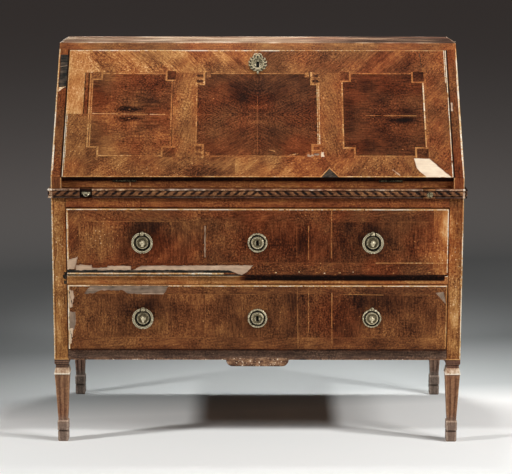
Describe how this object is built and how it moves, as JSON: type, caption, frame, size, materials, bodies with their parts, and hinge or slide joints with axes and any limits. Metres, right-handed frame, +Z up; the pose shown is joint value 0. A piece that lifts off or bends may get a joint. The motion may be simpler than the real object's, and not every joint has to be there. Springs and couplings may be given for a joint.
{
  "type": "slant-front writing bureau",
  "caption": "Worn slant-front bureau on fluted tapered legs: hinged fall, long drawers with ring pulls, pull-out lopers, rope moulding and a nest of small drawers inside.",
  "frame": {"origin": "middle of the bounding box on the floor, under the feet", "axes": "+X to the viewer's right along the front, +Y from the front to the back, +Z up"},
  "size_m": [1.1166, 0.539, 1.058],
  "materials": {
    "walnut": "dark reddish walnut with a worn polish",
    "fall_walnut": "golden and brown figured walnut veneer with a worn polish",
    "plain_wood": "unpolished softwood of the inside and the back",
    "brass": "aged, partly darkened brass",
    "iron": "dark wrought iron"
  },
  "bodies": {
    "case": {"left_side": "walnut", "right_side": "walnut", "top_board": "walnut", "back_panel": "plain_wood", "bottom_board": "plain_wood", "dust_board": "plain_wood", "writing_bed": "walnut", "left_stile": "walnut", "right_stile": "walnut", "frieze_rail": "walnut", "middle_rail": "walnut", "bottom_rail": "walnut", "front_rope_moulding": "walnut", "left_rope_return": "walnut", "right_rope_return": "walnut", "front_left_leg": "walnut", "front_right_leg": "walnut", "back_left_leg": "walnut", "back_right_leg": "walnut", "loper_bearer": "plain_wood", "nest_frame": "plain_wood", "left_bed_hinge_leaf": "brass", "right_bed_hinge_leaf": "brass", "left_hinge_pin": "brass", "right_hinge_pin": "brass"},
    "fall": {"fall_board": "fall_walnut", "fall_key_plate": "brass", "fall_lock": "iron", "left_fall_hinge_leaf": "brass", "right_fall_hinge_leaf": "brass"},
    "fall_bolt_body": {"fall_bolt": "iron"},
    "left_loper_body": {"left_loper": "walnut", "left_loper_staple": "brass"},
    "right_loper_body": {"right_loper": "walnut", "right_loper_knob": "brass"},
    "upper_drawer": {"upper_drawer_front": "walnut", "upper_drawer_left_side": "plain_wood", "upper_drawer_right_side": "plain_wood", "upper_drawer_back": "plain_wood", "upper_drawer_bottom": "plain_wood", "upper_drawer_lock": "iron", "upper_drawer_key_plate": "brass", "upper_left_pull_plate": "brass", "upper_right_pull_plate": "brass"},
    "lower_drawer": {"lower_drawer_front": "walnut", "lower_drawer_left_side": "plain_wood", "lower_drawer_right_side": "plain_wood", "lower_drawer_back": "plain_wood", "lower_drawer_bottom": "plain_wood", "lower_drawer_lock": "iron", "lower_drawer_key_plate": "brass", "lower_left_pull_plate": "brass", "lower_right_pull_plate": "brass"},
    "upper_bolt_body": {"upper_drawer_bolt": "iron"},
    "lower_bolt_body": {"lower_drawer_bolt": "iron"},
    "upper_left_ring_body": {"upper_left_ring": "brass"},
    "upper_right_ring_body": {"upper_right_ring": "brass"},
    "lower_left_ring_body": {"lower_left_ring": "brass"},
    "left_nest_drawer_body": {"left_nest_drawer": "walnut"},
    "right_nest_drawer_body": {"right_nest_drawer": "walnut"}
  },
  "joints": [
    {"name": "fall_hinge", "type": "hinge", "parent": "case", "child": "fall", "pos_m": [0, -0.22571, 0.714], "axis": [1, 0, 0], "range_deg": [0, 130]},
    {"name": "fall_bolt_slide", "type": "slide", "parent": "fall", "child": "fall_bolt_body", "axis": [0, 0.6428, 0.766], "range_m": [0, 0.01]},
    {"name": "left_loper_slide", "type": "slide", "parent": "case", "child": "left_loper_body", "axis": [0, -1, 0], "range_m": [0, 0.28]},
    {"name": "right_loper_slide", "type": "slide", "parent": "case", "child": "right_loper_body", "axis": [0, -1, 0], "range_m": [0, 0.28]},
    {"name": "upper_drawer_slide", "type": "slide", "parent": "case", "child": "upper_drawer", "axis": [0, -1, 0], "range_m": [0, 0.4]},
    {"name": "lower_drawer_slide", "type": "slide", "parent": "case", "child": "lower_drawer", "axis": [0, -1, 0], "range_m": [0, 0.4]},
    {"name": "upper_bolt_slide", "type": "slide", "parent": "upper_drawer", "child": "upper_bolt_body", "axis": [0, 0, 1], "range_m": [0, 0.01]},
    {"name": "lower_bolt_slide", "type": "slide", "parent": "lower_drawer", "child": "lower_bolt_body", "axis": [0, 0, 1], "range_m": [0, 0.01]},
    {"name": "upper_left_ring_swing", "type": "hinge", "parent": "upper_drawer", "child": "upper_left_ring_body", "pos_m": [-0.305, -0.2584, 0.5753], "axis": [-1, 0, 0], "range_deg": [0, 110]},
    {"name": "upper_right_ring_swing", "type": "hinge", "parent": "upper_drawer", "child": "upper_right_ring_body", "pos_m": [0.305, -0.2584, 0.5753], "axis": [-1, 0, 0], "range_deg": [0, 110]},
    {"name": "lower_left_ring_swing", "type": "hinge", "parent": "lower_drawer", "child": "lower_left_ring_body", "pos_m": [-0.305, -0.2584, 0.3703], "axis": [-1, 0, 0], "range_deg": [0, 110]},
    {"name": "left_nest_drawer_slide", "type": "slide", "parent": "case", "child": "left_nest_drawer_body", "axis": [0, -1, 0], "range_m": [0, 0.14]},
    {"name": "right_nest_drawer_slide", "type": "slide", "parent": "case", "child": "right_nest_drawer_body", "axis": [0, -1, 0], "range_m": [0, 0.14]}
  ]
}
